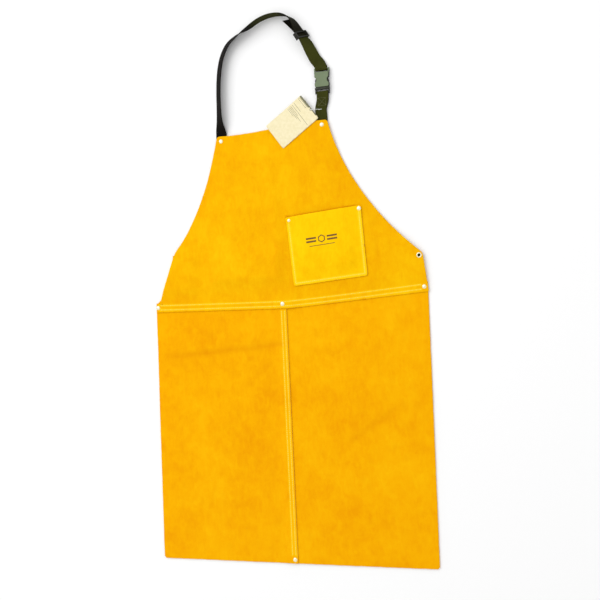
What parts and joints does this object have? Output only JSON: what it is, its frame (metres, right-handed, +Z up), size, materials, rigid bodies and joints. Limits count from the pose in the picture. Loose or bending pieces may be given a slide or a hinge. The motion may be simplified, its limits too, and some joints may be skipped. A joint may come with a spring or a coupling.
{
  "type": "welding apron",
  "caption": "Split-leather welding apron with a riveted chest pocket, adjustable neck strap and waist belt with side-release buckles, laid flat with a hang tag.",
  "frame": {"origin": "on the surface that the apron lies on, under the middle of its bounding box", "axes": "+Y from the hem to the neck, +X across the apron towards its pocket side, +Z up out of the front face"},
  "size_m": [0.612, 1.1622, 0.0316],
  "materials": {
    "suede_bib": "split leather, brushed nap",
    "suede_pocket": "split leather, brushed nap",
    "suede_skirt": "split leather, brushed nap",
    "thread": "waxed sewing thread",
    "rivet_metal": "nickel plate, slightly warm",
    "webbing": "woven polypropylene webbing",
    "buckle_plastic": "moulded, satin",
    "slider_plastic": "moulded, satin",
    "tag_card": "uncoated card",
    "tie_filament": "clear nylon filament"
  },
  "bodies": {
    "apron": {"skirt_panel_left": "suede_skirt", "skirt_panel_right": "suede_skirt", "bib_panel": "suede_bib", "chest_pocket": "suede_pocket", "waist_stitches_upper": "thread", "waist_stitches_lower": "thread", "centre_stitches_left": "thread", "centre_stitches_right": "thread", "pocket_stitches": "thread", "neck_anchor_tack": "thread", "neck_strap": "webbing", "neck_anchor_strap": "webbing", "belt_strap_left": "webbing", "belt_strap_right": "webbing", "waist_rivet_left_cap": "rivet_metal", "waist_rivet_left_washer": "rivet_metal", "waist_rivet_centre_cap": "rivet_metal", "waist_rivet_centre_washer": "rivet_metal", "waist_rivet_right_cap": "rivet_metal", "waist_rivet_right_washer": "rivet_metal", "hem_rivet_cap": "rivet_metal", "hem_rivet_washer": "rivet_metal", "neck_rivet_left_cap": "rivet_metal", "neck_rivet_left_washer": "rivet_metal", "neck_rivet_right_cap": "rivet_metal", "neck_rivet_right_washer": "rivet_metal", "pocket_rivet_left_cap": "rivet_metal", "pocket_rivet_left_washer": "rivet_metal", "pocket_rivet_right_cap": "rivet_metal", "pocket_rivet_right_washer": "rivet_metal", "hip_eyelet_left": "rivet_metal", "hip_eyelet_right": "rivet_metal", "tag_tie": "tie_filament", "neck_buckle_male": "buckle_plastic", "belt_buckle_male": "buckle_plastic"},
    "neck_female": {"neck_buckle_female": "buckle_plastic"},
    "neck_slider": {"neck_slider": "slider_plastic"},
    "neck_latch_left": {"neck_buckle_latch_left": "buckle_plastic"},
    "neck_latch_right": {"neck_buckle_latch_right": "buckle_plastic"},
    "belt_female": {"belt_buckle_female": "buckle_plastic"},
    "belt_slider": {"belt_slider": "slider_plastic"},
    "belt_latch_left": {"belt_buckle_latch_left": "buckle_plastic"},
    "belt_latch_right": {"belt_buckle_latch_right": "buckle_plastic"},
    "tag": {"hang_tag": "tag_card"}
  },
  "joints": [
    {"name": "neck_buckle_release", "type": "slide", "parent": "apron", "child": "neck_female", "axis": [0, 1, 0], "range_m": [0, 0.028], "deforming": ["neck_strap", "neck_buckle_latch_left", "neck_buckle_latch_right"]},
    {"name": "neck_slider_adjust", "type": "slide", "parent": "neck_female", "child": "neck_slider", "axis": [0.5225, -0.8526, 0], "range_m": [-0.012, 0.004], "deforming": ["neck_strap"]},
    {"name": "neck_latch_left_press", "type": "hinge", "parent": "apron", "child": "neck_latch_left", "pos_m": [0.0914, 0.41398, 0.0043], "axis": [0, 0, 1], "range_deg": [-9, 0], "stiffness_Nm_per_rad": 0.02},
    {"name": "neck_latch_right_press", "type": "hinge", "parent": "apron", "child": "neck_latch_right", "pos_m": [0.1086, 0.41398, 0.0043], "axis": [0, 0, 1], "range_deg": [0, 9], "stiffness_Nm_per_rad": 0.02},
    {"name": "belt_buckle_release", "type": "slide", "parent": "apron", "child": "belt_female", "axis": [-1, 0, 0], "range_m": [0, 0.028], "deforming": ["belt_strap_left", "belt_buckle_latch_left", "belt_buckle_latch_right"]},
    {"name": "belt_slider_adjust", "type": "slide", "parent": "belt_female", "child": "belt_slider", "axis": [1, 0, 0], "range_m": [-0.012, 0.006], "deforming": ["belt_strap_left"]},
    {"name": "belt_latch_left_press", "type": "hinge", "parent": "apron", "child": "belt_latch_left", "pos_m": [-0.0348, 0.03678, 0.0043], "axis": [0, 0, 1], "range_deg": [-9, 0], "stiffness_Nm_per_rad": 0.02},
    {"name": "belt_latch_right_press", "type": "hinge", "parent": "apron", "child": "belt_latch_right", "pos_m": [-0.0348, 0.05398, 0.0043], "axis": [0, 0, 1], "range_deg": [0, 9], "stiffness_Nm_per_rad": 0.02},
    {"name": "tag_swing", "type": "hinge", "parent": "apron", "child": "tag", "pos_m": [0.07279, 0.37087, 0.00685], "axis": [0, 0, 1], "range_deg": [-15, 12]}
  ]
}
